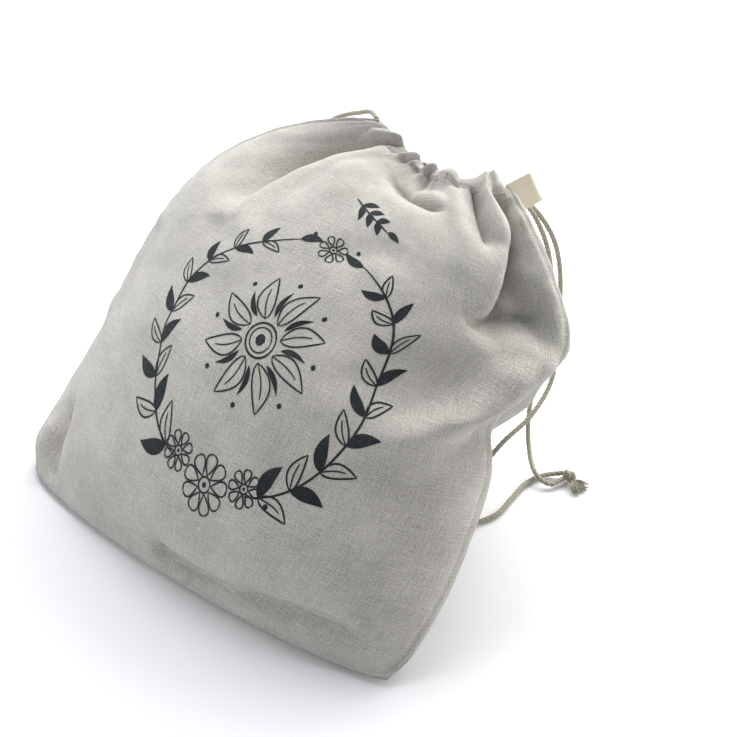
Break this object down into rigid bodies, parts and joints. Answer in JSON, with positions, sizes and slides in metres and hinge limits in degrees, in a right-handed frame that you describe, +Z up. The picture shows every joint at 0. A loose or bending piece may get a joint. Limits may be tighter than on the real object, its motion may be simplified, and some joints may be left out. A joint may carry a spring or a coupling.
{
  "type": "linen bread bag",
  "caption": "Drawstring bread bag of plain linen, sewn from one folded strip, its gathered mouth open at the back, resting full on its belly.",
  "frame": {"origin": "centre of the box of the cloth and label, at the table the bag rests on", "axes": "+X along the bottom seam from the left corner to the right one, +Y from the bottom edge towards the mouth, +Z up"},
  "size_m": [0.304, 0.2623, 0.2081],
  "materials": {
    "linen": "plain weave linen, matt",
    "label_cotton": "folded cotton tape, matt",
    "cord_cotton": "twisted cord, matt"
  },
  "bodies": {
    "root": {"panel_front": "linen", "panel_back": "linen", "label_tab": "label_cotton", "cord_lower": "cord_cotton", "cord_upper": "cord_cotton", "cord_loop": "cord_cotton", "end_knot": "cord_cotton"}
  },
  "joints": []
}
